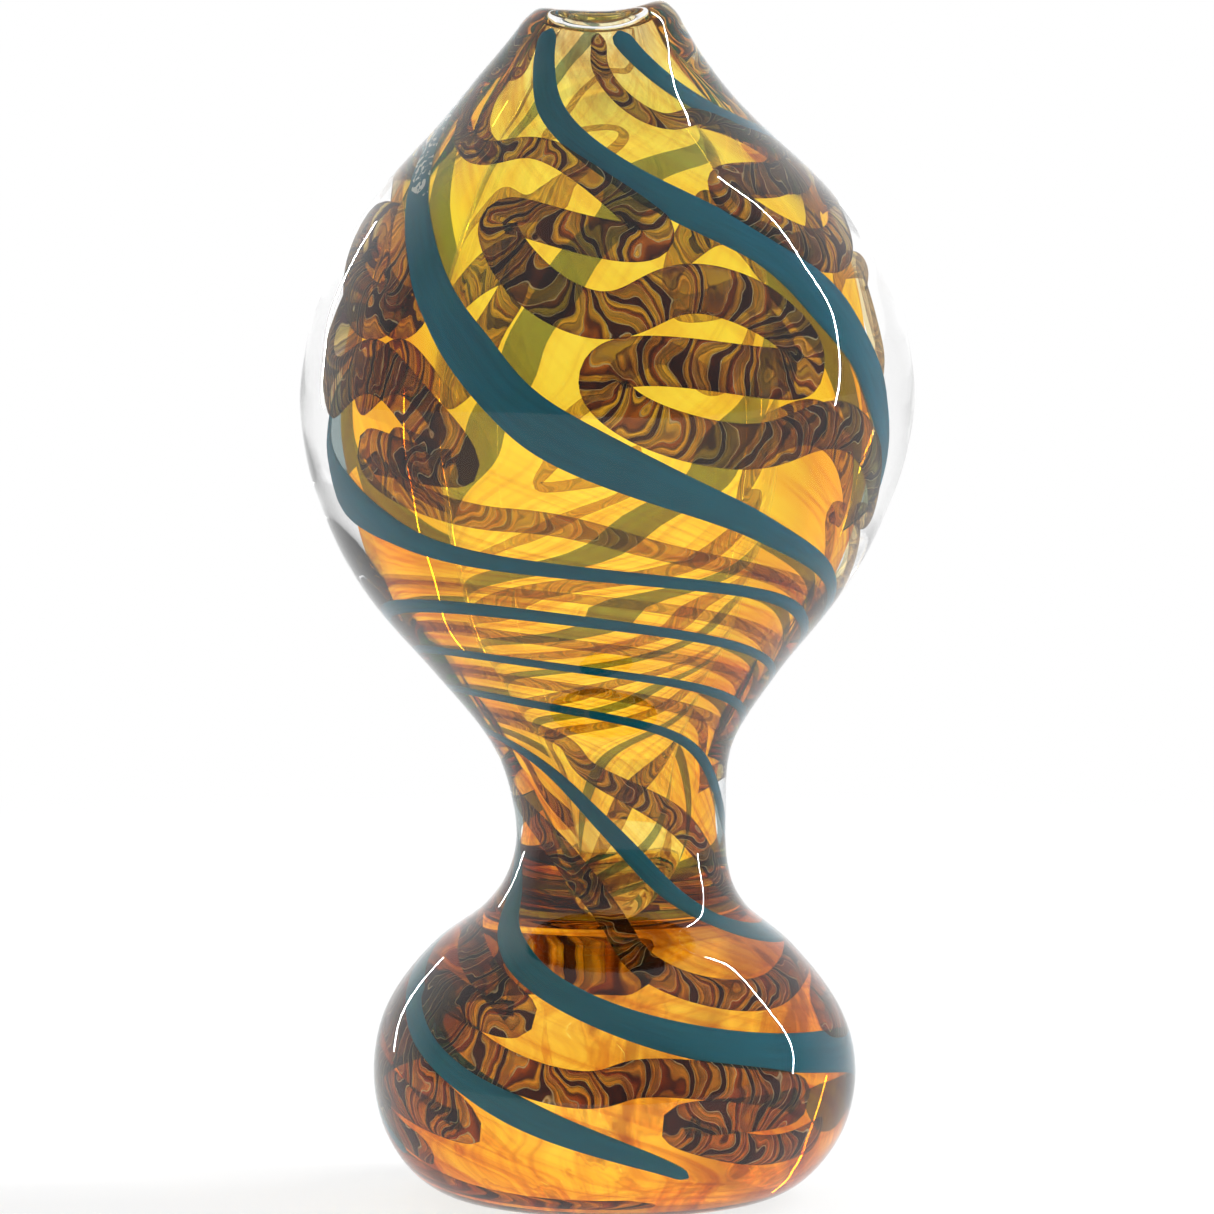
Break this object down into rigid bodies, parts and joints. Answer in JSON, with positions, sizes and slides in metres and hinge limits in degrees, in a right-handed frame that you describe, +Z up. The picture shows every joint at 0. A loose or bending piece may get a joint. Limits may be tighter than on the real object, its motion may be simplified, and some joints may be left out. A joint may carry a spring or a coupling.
{
  "type": "glass vessel",
  "caption": "Free-standing hollow glass vessel: clear casing over an amber liner with twisted teal and striped canes, onion body, narrow neck, bulb foot and small pinched mouth.",
  "frame": {"origin": "on the resting face, under the middle of the body", "axes": "+Z up through the mouth, -Y towards the front that the mouth's deeper pinch faces, +X to the right"},
  "size_m": [0.0516, 0.0516, 0.1008],
  "materials": {
    "clear_glass": "fire-polished, water clear",
    "amber_glass": "transparent amber with faint streaks",
    "teal_glass": "opaque teal, smooth",
    "striped_glass": "translucent brown with khaki, cream and purple stripes"
  },
  "bodies": {
    "root": {"clear_casing": "clear_glass", "amber_liner": "amber_glass", "teal_cane_1": "teal_glass", "teal_cane_2": "teal_glass", "teal_cane_3": "teal_glass", "striped_cane_1": "striped_glass", "striped_cane_2": "striped_glass", "striped_cane_3": "striped_glass"}
  },
  "joints": []
}
